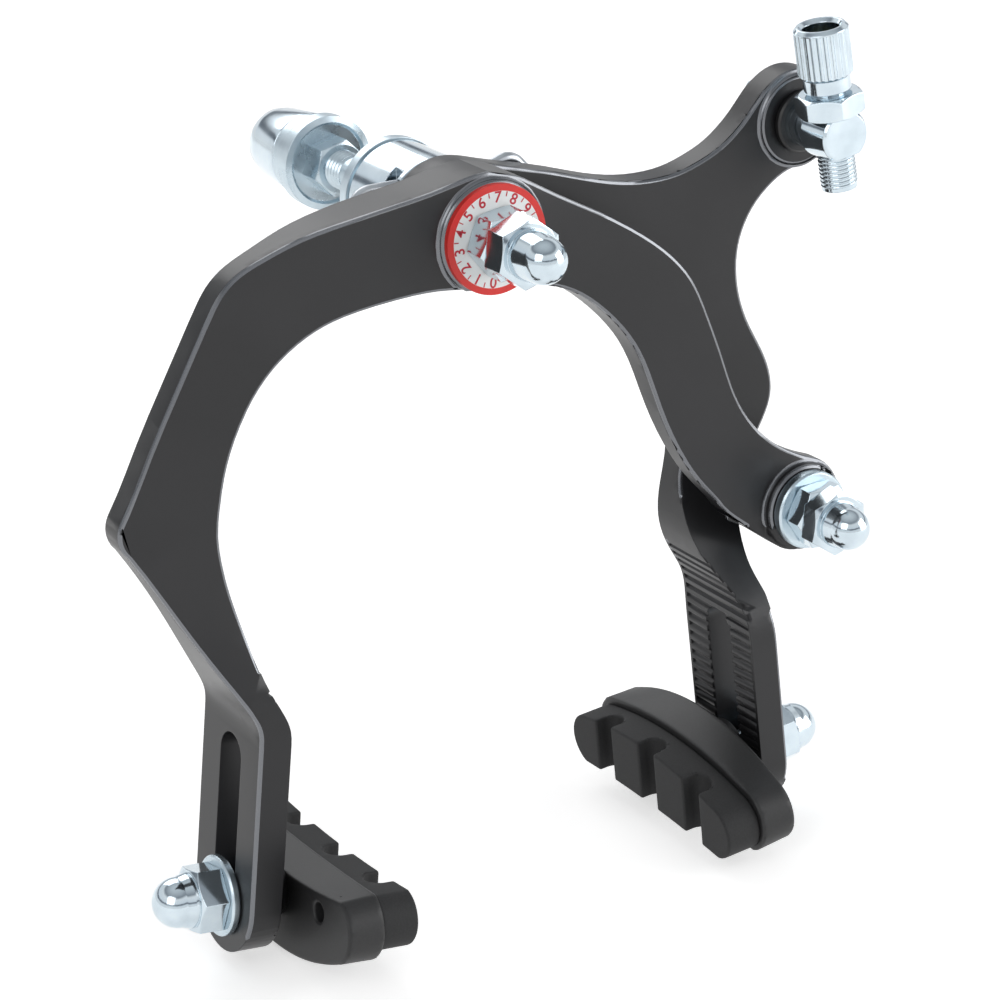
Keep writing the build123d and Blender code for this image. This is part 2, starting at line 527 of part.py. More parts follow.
back_washer = cyl_y(6.0, REAR_ARM_BACK_Y + 0.05, REAR_ARM_BACK_Y + 1.2, HORN_X, HORN_Z) - cyl_y(EYE_SHANK_R + 0.05, 0, 30, HORN_X, HORN_Z)
save(back_washer, "adjuster_washer")
back_nut = hex_y(NUT_AF, REAR_ARM_BACK_Y + 1.2, REAR_ARM_BACK_Y + 5.2, HORN_X, HORN_Z, turn=0, chamfer_front=False, chamfer_back=True)
back_nut = back_nut - cyl_y(EYE_SHANK_R, 0, 30, HORN_X, HORN_Z)
save(back_nut, "adjuster_back_nut")

lock_nut = hex_z(NUT_AF, EYE_FLAT + 0.02, EYE_FLAT + 0.02 + LOCK_NUT_T, turn=15) - cyl_z(STEM_R + 0.05, -20, 20)
save(lean * lock_nut, "adjuster_lock_nut")

barrel = cyl_z(BARREL_R, BARREL_BASE, BARREL_TOP)
barrel = chamfer(barrel.edges().filter_by(GeomType.CIRCLE), 0.55)
for i in range(BARREL_FLUTES):
    flute = Rot(0, 0, i * 360 / BARREL_FLUTES) * Pos(BARREL_R + 0.18, 0, (BARREL_BASE + BARREL_TOP) / 2 - 0.35)
    barrel = barrel - flute * Cylinder(0.42, BARREL_TOP - BARREL_BASE - 0.9)
barrel = barrel + cyl_z(BARREL_NECK_R, EYE_FLAT + LOCK_NUT_T + 0.6, BARREL_BASE + 0.5)
barrel = barrel + cyl_z(STEM_R, STEM_END, BARREL_BASE)
barrel = barrel - cyl_z(SOCKET_R, BARREL_TOP - SOCKET_DEPTH, BARREL_TOP + 1)
barrel = barrel - cyl_z(SEAT_R + 0.05, BARREL_TOP - SOCKET_DEPTH - SEAT_T, BARREL_TOP - SOCKET_DEPTH + 1)
barrel = barrel - cyl_z(CABLE_HOLE_R, STEM_END - 1, BARREL_TOP)
mouth = revolve(Plane.XZ * make_face(Polyline((0, BARREL_TOP - 0.6), (SOCKET_R, BARREL_TOP - 0.6), (SOCKET_R + 0.6, BARREL_TOP),
                                              (SOCKET_R + 0.6, BARREL_TOP + 1), (0, BARREL_TOP + 1), close=True)), Axis.Z)
barrel = barrel - mouth
save(lean * barrel, "adjuster_barrel")
seat_z = BARREL_TOP - SOCKET_DEPTH - SEAT_T
seat = cyl_z(SEAT_R, seat_z + 0.02, seat_z + SEAT_T - 0.02) - cyl_z(CABLE_HOLE_R, -20, 40)
save(lean * seat, "housing_seat")

# Return spring and the pins it bears on

spring_path = [(-47.6, 8.1, -18.8), (-32.0, 10.2, -8.6), (-19.0, 16.2, -5.0), (-13.6, WIRE_Y, 5.3),
               (9.4, WIRE_Y, 5.3), (14.4, WIRE_Y, 7.0), (40.0, WIRE_Y, -21.6), (45.9, WIRE_Y, -42.0)]
wire_path = FilletPolyline(*spring_path, radius=WIRE_BEND_R)
start = Plane(origin=wire_path @ 0, z_dir=wire_path % 0)
spring = sweep(start * Circle(WIRE_R), path=wire_path)
save(spring, "return_spring")

front_pin = cyl_y(PIN_R - 0.4, 3.2, FRONT_ARM_BACK_Y, *FRONT_PIN) + cyl_y(PIN_R, FRONT_ARM_BACK_Y, 10.4, *FRONT_PIN)
save(front_pin, "front_spring_pin")
rear_pin = cyl_y(PIN_R - 0.4, 12.8, REAR_ARM_BACK_Y, *REAR_PIN) + cyl_y(PIN_R, REAR_ARM_BACK_Y, 20.6, *REAR_PIN)
save(rear_pin, "rear_spring_pin")

# Brake pads. One shoe serves both sides: on the left it is the right one turned half round about Y.


def pad_outline(top_mid, top_end, bottom_mid, bottom_end, inset=0.0):
    """A shoe's outline, seen along its stud: x along the row's Y, y up the leg."""
    near, far = PAD_NEAR + inset, PAD_FAR - inset
    n1, f1 = near + 3.8, far - 3.8
    return make_face(Wire([
        ThreePointArc((n1, top_end), (0, top_mid), (f1, top_end)),
        ThreePointArc((f1, top_end), (far, (top_end + bottom_end) / 2), (f1, bottom_end)),
        ThreePointArc((f1, bottom_end), (0, bottom_mid), (n1, bottom_end)),
        ThreePointArc((n1, bottom_end), (near, (top_end + bottom_end) / 2), (n1, top_end)),
    ]))


def pad_plane(side, t):
    """The leg's frame at the stud, turned by the pad's tilt; on the left it is also turned over."""
    pl = leg_plane(side, t=t)
    if side == "right":
        return Plane(origin=pl.origin, x_dir=Vector(0, cos(radians(RIGHT_PAD_TILT)), 0) +
                     pl.y_dir * sin(radians(RIGHT_PAD_TILT)), z_dir=-pl.z_dir)
    return Plane(origin=pl.origin, x_dir=Vector(0, cos(radians(LEFT_PAD_TILT)), 0) -
                 pl.y_dir * sin(radians(LEFT_PAD_TILT)), z_dir=-pl.z_dir)


def pad_pieces(side):
    """Shoe and rubber block. In the pad's frame z points outwards, from the rubber to the leg, and local y
    is the crowned side: up on the right, down on the left."""
    back = pad_plane(side, PAD_GAP_END)
    flip = back.y_dir.Z > 0 if side == "right" else back.y_dir.Z < 0
    if not flip:
        raise ValueError("pad frame is the wrong way up")
    rear = pad_outline(10.1, 5.2, -3.4, -5.4)
    front = pad_outline(8.0, 5.4, -5.4, -5.9)
    shoe = loft([back.offset(-SHOE_T) * front, back * rear], ruled=True)
    hole = Pos(-14.7, -1.1) * Circle(1.6)
    shoe = shoe - extrude(back * hole, amount=-3.0)
    block = extrude(back.offset(-SHOE_T) * pad_outline(6.9, 4.3, -4.4, -5.2, inset=0.9), amount=-RUBBER_T)
    for at in NOTCH_AT:
        deep = NOTCH_DEPTH - NOTCH_W / 2
        cut = Pos(at, 0, -RUBBER_T - SHOE_T) * (Pos(0, 0, deep / 2) * Box(NOTCH_W, 40, deep + 0.001)
                                             + Pos(0, 0, deep) * Rot(90, 0, 0) * Cylinder(NOTCH_W / 2, 40))
        cut = cut + Pos(at, 0, -RUBBER_T - SHOE_T - 1.0) * Box(NOTCH_W, 40, 2.0)
        block = block - back.location * cut
    return shoe, block


def stack_y(side, part):
    """Takes a piece drawn about Y, its outside towards -Y and the leg's outer face at 0, onto a leg's stud."""
    pl = leg_plane(side)
    target = Plane(origin=pl.origin, x_dir=pl.x_dir, z_dir=-pl.z_dir)
    base = Plane(origin=(0, 0, 0), x_dir=(1, 0, 0), z_dir=(0, -1, 0))
    return target.location * base.location.inverse() * part


for side, turn in (("left", 12), ("right", 20)):
    shoe, block = pad_pieces(side)
    stud = cyl_y(STUD_R, -9.6, PAD_GAP_END + 3.4)
    stud = stack_y(side, stud)
    head = stack_y(side, cyl_y(STUD_R, PAD_GAP_END, PAD_GAP_END + 3.4))
    save(shoe - head, f"{side}_pad_shoe")
    save(block, f"{side}_pad_block")
    save(stud, f"{side}_pad_stud")
    washer = cyl_y(PAD_WASHER_R, -PAD_WASHER_T, 0)
    washer = chamfer(washer.edges().filter_by(GeomType.CIRCLE), 0.3) - cyl_y(STUD_R + 0.05, -10, 10)
    save(stack_y(side, washer), f"{side}_pad_washer")
    low, high = LEG_T, PAD_GAP_END
    cone_in = turned_y([(0, low), (CONE_WASHER_R, low), (CONE_WASHER_R, low + 1.3), (4.6, high - 0.05), (0, high - 0.05)])
    cone_in = cone_in - cyl_y(STUD_R + 0.05, 0, 20)
    save(stack_y(side, cone_in), f"{side}_cone_washer")
    nut = cap_nut(-PAD_WASHER_T - 0.05, 10.7, 4.15, turn, hexagon=4.6, depth=8.2)
    save(stack_y(side, nut), f"{side}_pad_nut")
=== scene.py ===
# %% [markdown]
# A side-pull caliper brake, seen from the front left and a little above.
#
# The rigid pieces come from the CAD model as finished meshes. What is left to this script is how they look:
# the black anodised arms, the plated hardware, the printed dial, the rubber blocks, and the small forms that
# are too fine for the CAD, such as screw threads and print. The first cell loads the frame, which brings
# every CAD piece in at its place, and notes the size of the whole object before anything is added to it.

import json
from math import cos, radians, sin, tau

import bmesh
import bpy
from mathutils import Matrix, Vector


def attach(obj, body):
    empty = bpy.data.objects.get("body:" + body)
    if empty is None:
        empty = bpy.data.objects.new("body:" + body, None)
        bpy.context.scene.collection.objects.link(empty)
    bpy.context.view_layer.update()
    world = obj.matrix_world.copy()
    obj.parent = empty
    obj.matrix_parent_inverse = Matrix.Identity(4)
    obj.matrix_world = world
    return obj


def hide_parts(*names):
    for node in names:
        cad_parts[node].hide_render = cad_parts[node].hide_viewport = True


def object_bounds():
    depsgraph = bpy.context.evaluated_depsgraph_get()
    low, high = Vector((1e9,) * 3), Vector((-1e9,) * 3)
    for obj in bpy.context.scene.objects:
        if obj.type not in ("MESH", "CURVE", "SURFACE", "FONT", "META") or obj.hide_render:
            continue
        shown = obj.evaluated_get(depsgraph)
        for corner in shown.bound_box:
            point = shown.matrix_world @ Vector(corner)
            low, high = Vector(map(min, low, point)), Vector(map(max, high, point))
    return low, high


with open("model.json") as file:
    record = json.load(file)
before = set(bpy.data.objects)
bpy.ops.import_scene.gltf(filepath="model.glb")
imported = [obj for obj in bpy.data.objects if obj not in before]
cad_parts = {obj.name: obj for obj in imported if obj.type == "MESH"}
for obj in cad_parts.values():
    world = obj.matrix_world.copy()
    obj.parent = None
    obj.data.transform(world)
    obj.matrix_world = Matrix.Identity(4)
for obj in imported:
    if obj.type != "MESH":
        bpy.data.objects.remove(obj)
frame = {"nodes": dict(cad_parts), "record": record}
cad_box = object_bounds()
MM = 0.001
print("CAD pieces:", len(frame["nodes"]))

# %% [markdown]
# Colours are written as the sRGB hex values that a colour picker gives. Blender's shaders work with linear
# light, so one function turns each value over. Without it every dark tone would come out too pale.

# %% Colour

WHITE = (1, 1, 1, 1)


def linear(hex_value):
    """An sRGB hex colour such as '2a2a2c' as linear red, green, blue and alpha."""
    parts = [int(hex_value[i:i + 2], 16) / 255 for i in (0, 2, 4)]
    return tuple(c / 12.92 if c <= 0.04045 else ((c + 0.055) / 1.055) ** 2.4 for c in parts) + (1.0,)


# %% [markdown]
# A material is a small graph of nodes. One helper makes a node, sets its sockets and wires it up, so that
# each finish below reads as a list of what happens to the light. A value is either a number or colour for
# the socket, or another node's output. The world is a graph of the same sort, so the helper serves it too.

# %% Node helper


def wire(owner, target, inputs):
    """Gives each of a node's inputs, by name or number, a value or another node's output."""
    for name, value in inputs.items():
        if isinstance(value, bpy.types.NodeSocket):
            owner.node_tree.links.new(value, target.inputs[name])
        else:
            target.inputs[name].default_value = value


def node(owner, kind, inputs=None, stops=(), **settings):
    """Adds a node with its settings and inputs. stops are a colour ramp's (place, colour) pairs."""
    made = owner.node_tree.nodes.new(kind)
    for name, value in settings.items():
        setattr(made, name, value)
    wire(owner, made, inputs or {})
    if stops:
        band = made.color_ramp.elements
        band[0].position, band[0].color = stops[0]
        band[1].position, band[1].color = stops[-1]
        for place, colour in stops[1:-1]:
            band.new(place).color = colour
    return made


def new_material(name):
    """A node material and its surface shader."""
    material = bpy.data.materials.new(name)
    material.use_nodes = True
    return material, material.node_tree.nodes["Principled BSDF"]


def per_metre(size_mm):
    """The texture scale at which one feature of a noise is about this many millimetres wide."""
    return 1 / (size_mm * MM)


# %% [markdown]
# Real edges are never perfectly sharp: a machined part is deburred and a plated one is tumbled, and the
# narrow round along each edge is what catches the light. The Bevel node rounds the shading over a few
# tenths of a millimetre without touching the mesh, which suits meshes that come from CAD. A bump on top of
# it carries the surface's own grain.
#
# No finish is quite even either. A second, much wider noise lets the tone and the roughness drift a little
# from place to place, as dye and plating do.

# %% Edge, grain and drift


def surface_normal(material, edge_mm, grain_mm, depth_mm, strength, detail=2.0):
    """Rounds the shading at edges and lays a fine noise over it. Returns the place, the noise and the normal."""
    place = node(material, "ShaderNodeTexCoord").outputs["Object"]
    edge = node(material, "ShaderNodeBevel", {"Radius": edge_mm * MM}, samples=6)
    grain = node(material, "ShaderNodeTexNoise", {"Vector": place, "Scale": per_metre(grain_mm), "Detail": detail})
    bump = node(material, "ShaderNodeBump", {"Height": grain.outputs["Fac"], "Strength": strength,
                                             "Distance": depth_mm * MM, "Normal": edge.outputs["Normal"]})
    return place, grain.outputs["Fac"], bump.outputs["Normal"]


def drift(material, place, patch_mm, tones, roughness):
    """A tone and a roughness that wander over patches about this wide, between two tones and two values."""
    noise = node(material, "ShaderNodeTexNoise", {"Vector": place, "Scale": per_metre(patch_mm), "Detail": 3.0})
    tone = node(material, "ShaderNodeValToRGB", {"Fac": noise.outputs["Fac"]}, stops=tones)
    rough = node(material, "ShaderNodeMapRange", {"Value": noise.outputs["Fac"], "From Min": 0.3, "From Max": 0.7,
                                                  "To Min": roughness[0], "To Max": roughness[1]})
    return tone.outputs["Color"], rough.outputs["Result"]


# %% [markdown]
# The arms are forged aluminium, bead-blasted to a fine matt skin, dyed black and anodised. The oxide layer
# is clear and hard over the dye, so the surface is nearly black with a soft, wide sheen rather than a sharp
# reflection. It is made as a dark surface that is only a little metallic, with middling roughness, a 0.25 mm
# blasting grain, drawn coarser than life so that it shows, and a slow drift over a few centimetres.

# %% Black anodised aluminium


def black_anodised_aluminium():
    material, shader = new_material("black anodised aluminium")
    place, _, normal = surface_normal(material, edge_mm=0.2, grain_mm=0.25, depth_mm=0.012, strength=0.35)
    tone, rough = drift(material, place, 28, [(0.35, linear("1d1d1f")), (0.65, linear("242426"))], (0.33, 0.4))
    wire(material, shader, {"Base Color": tone, "Roughness": rough, "Normal": normal, "Metallic": 0.25,
                            "Specular IOR Level": 0.55})
    return material


# %% [markdown]
# The nuts, the carrier and the adjuster are steel with bright chrome or zinc on it. Both plate to a mirror
# over turned and pressed steel, so the tool's fine lines stay faintly visible. Zinc is a touch darker and
# softer than chrome. Metals have no base reflection but their own colour, so only colour, roughness and the
# fine bump differ between them. The bare steel of the spring and the brass of the housing's seat are made
# the same way.

# %% Plated steel


def plated_steel(name, light, shade, roughness, edge_mm, line_mm):
    """Bright plating: its tone and roughness drift a little, and fine turning lines lie under it."""
    material, shader = new_material(name)
    place, _, normal = surface_normal(material, edge_mm, line_mm, depth_mm=0.004, strength=0.25)
    tone, rough = drift(material, place, 4, [(0.3, linear(shade)), (0.7, linear(light))], roughness)
    wire(material, shader, {"Base Color": tone, "Roughness": rough, "Normal": normal, "Metallic": 1.0})
    return material


# %% [markdown]
# The dial is a thin moulded disc, white with a red rim. Its rim is a flat ring on the disc's face, so its
# colour depends only on the distance from the bolt. Object coordinates have their zero at the row's origin,
# which lies on the bolt's axis, so the length of their X and Z is that distance.

# %% Printed dial

DIAL_RIM = 7.75 * MM
ACROSS_THE_BOLT = (1, 0, 1)    # keeps X and Z and drops Y, which runs along the bolt


def printed_dial():
    material, shader = new_material("printed white plastic with a red rim")
    place, _, normal = surface_normal(material, edge_mm=0.12, grain_mm=0.4, depth_mm=0.004, strength=0.2)
    flat = node(material, "ShaderNodeVectorMath", {0: place, 1: ACROSS_THE_BOLT}, operation="MULTIPLY")
    radius = node(material, "ShaderNodeVectorMath", {0: flat.outputs["Vector"]}, operation="LENGTH")
    in_rim = node(material, "ShaderNodeMath", {0: radius.outputs["Value"], 1: DIAL_RIM}, operation="GREATER_THAN")
    # A Mix node keeps sockets for every kind of data: 6 and 7 are its two colours, and output 2 is the mixed one.
    tone = node(material, "ShaderNodeMix", {"Factor": in_rim.outputs["Value"]}, data_type="RGBA")
    wire(material, tone, {6: linear("f4f5f4"), 7: linear("e0312c")})
    wire(material, shader, {"Base Color": tone.outputs[2], "Normal": normal, "Roughness": 0.32})
    return material


# %% [markdown]
# The brake blocks are moulded rubber, and the shoes that hold them a harder black plastic. Both scatter
# light from a fine mould texture. Carbon black makes both nearly black, so it is mostly the roughness that
# tells them apart: the rubber is the more matt of the two. The black oxide on the collar and on the cone
# washers is a shade darker and smoother.

# %% Rubber and moulded plastic


def moulded(name, dark, pale, roughness, edge_mm, grain_mm, depth_mm):
    """A dark surface with a fine, slightly uneven texture."""
    material, shader = new_material(name)
    _, grain, normal = surface_normal(material, edge_mm, grain_mm, depth_mm, strength=0.5, detail=4.0)
    tone = node(material, "ShaderNodeValToRGB", {"Fac": grain}, stops=[(0.3, linear(dark)), (0.7, linear(pale))])
    wire(material, shader, {"Base Color": tone.outputs["Color"], "Normal": normal, "Roughness": roughness})
    return material


# %% [markdown]
# Each CAD piece now gets the finish that its real one has. The record already says which slot a piece
# belongs to, so the finishes are given by slot.

# %% Give the CAD pieces their finishes

finishes = {
    "black_anodised": black_anodised_aluminium(),
    "chrome_steel": plated_steel("bright chromed steel", "d3dfe6", "c3d0d8", (0.09, 0.15), 0.22, 0.5),
    "zinc_steel": plated_steel("bright zinc-plated steel", "ccd9e0", "b9c8d1", (0.24, 0.34), 0.2, 0.3),
    "dial": printed_dial(),
    "spring_steel": plated_steel("drawn spring steel", "c8ccd0", "b4b9be", (0.28, 0.36), 0.1, 0.3),
    "black_steel": moulded("black oxide on steel", "141415", "1c1c1d", 0.4, 0.2, 0.3, 0.006),
    "shoe_plastic": moulded("moulded black plastic", "1e1e1f", "242425", 0.5, 0.5, 0.35, 0.015),
    "pad_rubber": moulded("moulded black rubber", "1c1c1d", "252526", 0.72, 0.35, 0.3, 0.02),
    "seat_brass": plated_steel("plain brass", "d8c27a", "c2a860", (0.3, 0.4), 0.1, 0.3),
}
slot_of = {piece["node"]: piece["material_slot"] for piece in frame["record"]["subparts"]}
for name, piece in frame["nodes"].items():
    finish = finishes[slot_of[name]]
    if not piece.material_slots:
        piece.data.materials.append(finish)
    for slot in piece.material_slots:
        slot.material = finish
print("finishes:", len(finishes))

# %% [markdown]
# The mesh of a CAD piece is loose triangles. To round its edges for real, in the mesh itself, a copy is
# needed in which the triangles share their corners. Merging the doubles gives that. On a simple piece,
# dissolving the edges that lie within a flat face then leaves clean outlines for the bevel operator to run
# along. After the bevel a Weighted Normal modifier keeps the large faces flat to the eye and leaves the whole
# turn of the shading to the narrow new faces. The copy then stands for the CAD piece.
#
# The arms' meshes have corners that lie closer together than SEAM. Merging them leaves small openings, none
# longer than a tenth of a millimetre, so the arms' copies aren't quite closed.

# %% Copies with real rounded edges

SEAM = 0.005 * MM              # corners this close are one corner
BEVEL_SEAM = 0.01 * MM         # the same, for what a bevel leaves behind
SHARP_EDGE = radians(32)       # a sharper turn between two faces is an edge that may be bevelled
SMOOTH_TURN = 22               # degrees that the smooth shading of a rounded copy may bridge
FACING = 0.9                   # a normal with more of Y than this looks straight forward or back

body_of = {name: body for body, names in frame["record"]["behaviour"]["bodies"].items() for name in names}


def merged_skin(name, flat_within):
    """A CAD piece's mesh with its corners merged. Seams between faces that turn by less than flat_within go."""
    skin = bmesh.new()
    skin.from_mesh(frame["nodes"][name].data)
    bmesh.ops.remove_doubles(skin, verts=skin.verts, dist=SEAM)
    if flat_within:
        bmesh.ops.dissolve_limit(skin, angle_limit=radians(flat_within), verts=skin.verts, edges=skin.edges)
    return skin


def add_piece(name, skin, body, slot, smooth_below=30, flat=None):
    """Makes a bmesh a piece that rides on a body, with the finish of a slot. flat picks its flat faces."""
    for face in skin.faces:
        face.smooth = not (flat and flat(face))
    mesh = bpy.data.meshes.new(name)
    skin.to_mesh(mesh)
    skin.free()
    mesh.materials.append(finishes[slot])
    mesh.set_sharp_from_angle(angle=radians(smooth_below))
    piece = bpy.data.objects.new(name, mesh)
    bpy.context.scene.collection.objects.link(piece)
    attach(piece, body)
    return piece


def turn_folds(skin, front_before):
    """A bevel can fold a sliver over. In front of a y in millimetres, turns such faces to look forward."""
    for face in skin.faces:
        if face.normal.y > FACING and face.calc_center_median().y < front_before * MM:
            face.normal_flip()


def rounded_copy(name, width_mm, chosen, segments, flat_within=0.5, edge_painted_highlight=None, flat=None,
                 front_before=None):
    """A copy of a CAD piece in which the sharp edges that chosen picks are bevelled."""
    skin = merged_skin(name, flat_within)
    sharp = [edge for edge in skin.edges
             if edge.is_manifold and edge.calc_face_angle() > SHARP_EDGE and chosen(edge)]
    bmesh.ops.bevel(skin, geom=sharp, offset=width_mm * MM, offset_type="OFFSET", affect="EDGES",
                    segments=segments, profile=0.5, material=1 if edge_painted_highlight else -1, clamp_overlap=False,
                    loop_slide=True)
    bmesh.ops.remove_doubles(skin, verts=skin.verts, dist=BEVEL_SEAM)
    if front_before:
        turn_folds(skin, front_before)
    bmesh.ops.triangulate(skin, faces=[face for face in skin.faces if len(face.verts) > 4])
    piece = add_piece(name + "_rounded", skin, body_of[name], slot_of[name], SMOOTH_TURN, flat)
    # The bevel's new faces can take a material of their own. On the arms that material is lighter, partly as a
    # painted highlight.
    if edge_painted_highlight:
        piece.data.materials.append(edge_painted_highlight)
    even = piece.modifiers.new("flat faces stay flat", "WEIGHTED_NORMAL")
    even.keep_sharp = True
    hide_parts(name)
    print(piece.name, len(sharp), "edges rounded,", len(piece.data.polygons), "faces")


# %% [markdown]
# Each arm is forged, and its front outline is then machined with a chamfer about three quarters of a
# millimetre wide. Only the edges between a face that looks forward and a wall get it. The inner side of a leg
# has none, because the grip grooves begin just behind the edge there, and neither have the slots. The
# chamfer is the bright line that draws the whole shape: its faces get a lighter, shinier metal than the arm,
# partly the bare metal of a real cut edge and partly a painted highlight.
#
# An arm keeps the triangles of its CAD mesh. Dissolved, its front would be one large face with holes in it,
# which shades in black wedges after a bevel.

# %% Chamfered arms

ARM_CHAMFER = 0.55                              # along each of the two faces, in millimetres
FRONT_BEFORE = {"front_arm": -31.5, "rear_arm": -20.0}    # each arm's front plane lies before this y
GRIP_TOP_Z = -60 * MM
SLOT_TOP_Z, SLOT_NEAR_Y = -70 * MM, -31 * MM
WALL = 0.7                                      # a normal with less of Y than this belongs to a wall
INWARD = 0.3                                    # a normal with less outward X than this is in the grip


def front_outline(edge):
    """Whether an edge lies between a forward face and a wall, and not beside the grip grooves."""
    walls = [face.normal for face in edge.link_faces if abs(face.normal.y) < WALL]
    if min(face.normal.y for face in edge.link_faces) > -FACING or not walls:
        return False
    place = (edge.verts[0].co + edge.verts[1].co) / 2
    beside_grip = place.z < GRIP_TOP_Z and walls[0].x * place.x < 0
    in_slot = place.z < SLOT_TOP_Z and place.y > SLOT_NEAR_Y
    return not beside_grip and not in_slot


def in_grip(face):
    """The grooves and the slot, low on a leg's inner side: crisp walls that take no smooth shading."""
    place = face.calc_center_median()
    return place.z < GRIP_TOP_Z and face.normal.x * place.x < INWARD * abs(place.x)


# The chamfer faces' lighter, shinier metal is partly a bare cut edge and partly a painted highlight, which draws the
# arms' outlines as bright lines.
cut_edge_painted_highlight, painted_highlight_shader = new_material("bright-cut edge with painted highlight")
wire(cut_edge_painted_highlight, painted_highlight_shader, {"Base Color": linear("77797d"), "Metallic": 0.85, "Roughness": 0.24})
for arm, before in FRONT_BEFORE.items():
    rounded_copy(arm, ARM_CHAMFER, front_outline, segments=2, flat_within=0, edge_painted_highlight=cut_edge_painted_highlight,
                 flat=in_grip, front_before=before)

# %% [markdown]
# The shoes and the rubber blocks come out of moulds, whose corners are round so that the part lets go. The
# round is small, about half a millimetre. A wider one runs into itself where two arcs of a shoe's outline
# meet and leaves dark specks.

# %% Moulded shoes and blocks

MOULD_ROUND = 0.45
SLIVER = 0.2 * MM


def long_enough(edge):
    """Leaves out slivers of an edge where two arcs meet."""
    return edge.calc_length() > SLIVER


for side in ("left", "right"):
    rounded_copy(side + "_pad_shoe", MOULD_ROUND, long_enough, segments=2)
    rounded_copy(side + "_pad_block", MOULD_ROUND, long_enough, segments=3)

# %% [markdown]
# Turned pieces are quickest made as on a lathe: half the outline, in radius and length, is swept once round
# the axis with the spin operator. Points on the axis meet in a pole, so the doubles are merged afterwards.
# The closed nut at the back is such a piece, a round-nosed cone with a blind hole for the bolt's end.

# %% Closed nut at the back

MOUNT_Y = 33        # how far the design's zero lies in front of the row's origin, in millimetres
LATHE_STEPS = 64
NOSE = [(0, 70.6), (2.85, 70.6), (2.85, 61.7), (6.9, 61.7), (7.1, 61.9), (7.1, 62.9), (6.35, 70.6),
        (5.95, 72.6), (5.3, 73.9), (4.4, 74.8), (3.3, 75.2), (0, 75.2)]


def turned(outline):
    """Spins a closed outline of (radius, y) pairs in millimetres about the bolt's axis."""
    skin = bmesh.new()
    ring = [skin.verts.new((radius * MM, (y - MOUNT_Y) * MM, 0)) for radius, y in outline]
    for a, b in zip(ring, ring[1:]):
        skin.edges.new((a, b))
    bmesh.ops.spin(skin, geom=skin.verts[:] + skin.edges[:], cent=(0, 0, 0), axis=(0, 1, 0), angle=tau,
                   steps=LATHE_STEPS, use_merge=True)
    bmesh.ops.remove_doubles(skin, verts=skin.verts, dist=SEAM)
    bmesh.ops.recalc_face_normals(skin, faces=skin.faces)
    return skin


nose = add_piece("closed_nut", turned(NOSE), "rear_hardware", "chrome_steel")
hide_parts("cone_nut")
print("closed nut:", len(nose.data.polygons), "faces")

# %% [markdown]
# A screw thread is one small tooth carried round and along at once. Spin does that too: it moves the outline
# a little along the axis at each step. The tooth has four corners, two at its root and two at a narrow flat
# crest. The root lies just inside the stem, so the helix needs no join with it. The mounting bolt is an M6
# with a 1 mm pitch; the adjuster's thread is finer.

# %% Threads

ROOT_SINK = 0.06                              # how deep the root lies in the stem, in millimetres
CREST_FROM, CREST_TO, ROOT_TO = 0.42, 0.55, 0.97    # along the tooth, in shares of the pitch
STEPS_PER_TURN = 36


def thread(name, body, foot, along, radius_mm, length_mm, pitch_mm, height_mm, slot):
    """A helical tooth around a stem that starts at foot and runs along a direction."""
    along = Vector(along).normalized()
    across = along.orthogonal().normalized()
    skin = bmesh.new()
    root, crest = (radius_mm - ROOT_SINK) * MM, (radius_mm + height_mm) * MM
    corners = [(root, 0.0), (crest, pitch_mm * CREST_FROM), (crest, pitch_mm * CREST_TO), (root, pitch_mm * ROOT_TO)]
    tooth = [skin.verts.new(Vector(foot) + across * r + along * s * MM) for r, s in corners]
    skin.faces.new(tooth)
    turns = length_mm / pitch_mm
    steps = int(STEPS_PER_TURN * turns)
    bmesh.ops.spin(skin, geom=skin.faces[:] + skin.edges[:] + skin.verts[:], cent=foot, axis=along,
                   dvec=along * (length_mm * MM / steps), angle=tau * turns, steps=steps)
    bmesh.ops.recalc_face_normals(skin, faces=skin.faces)
    piece = add_piece(name, skin, body, slot, smooth_below=25)
    print(name, round(turns, 1), "turns,", len(piece.data.polygons), "faces")


EYE_AXIS = Vector((64.9, -33.0, 6.3)) * MM     # the middle of the adjuster's eye, on the barrel's axis
BARREL_LEAN = radians(8.5)
STEM_BELOW_EYE = 9.2 * MM
barrel_up = Vector((-sin(BARREL_LEAN), 0, cos(BARREL_LEAN)))
thread("adjuster_thread", "barrel", EYE_AXIS - barrel_up * STEM_BELOW_EYE, barrel_up, radius_mm=2.95,
       length_mm=5.4, pitch_mm=0.7, height_mm=0.14, slot="chrome_steel")
BOLT_THREAD_Y = 44.6
thread("bolt_thread", "bolt", (0, (BOLT_THREAD_Y - MOUNT_Y) * MM, 0), (0, 1, 0), radius_mm=3.0,
       length_mm=5.0, pitch_mm=1.0, height_mm=0.3, slot="zinc_steel")

# %% [markdown]
# The dial is printed with plain figures that stand round the nut, their feet towards it, and a short tick
# between each two. Text starts as a curve object. It is made a mesh, and then turned and put in its place
# there, so that the object itself stays at the origin. The ink stands a few hundredths of a millimetre
# proud, as screen printing does.

# %% Figures on the dial

DIAL_FACE_Y = -34.2 * MM
FIGURE_R, TICK_R = 6.72 * MM, 7.3 * MM
FIRST_FIGURE, FIGURE_STEP = 262, -25           # in degrees round the bolt
FIGURE_SIZE, STROKE_GROWTH = 2.5 * MM, 0.03 * MM
TICK_LENGTH, TICK_WIDTH = 0.8 * MM, 0.16 * MM
INK = 0.04 * MM

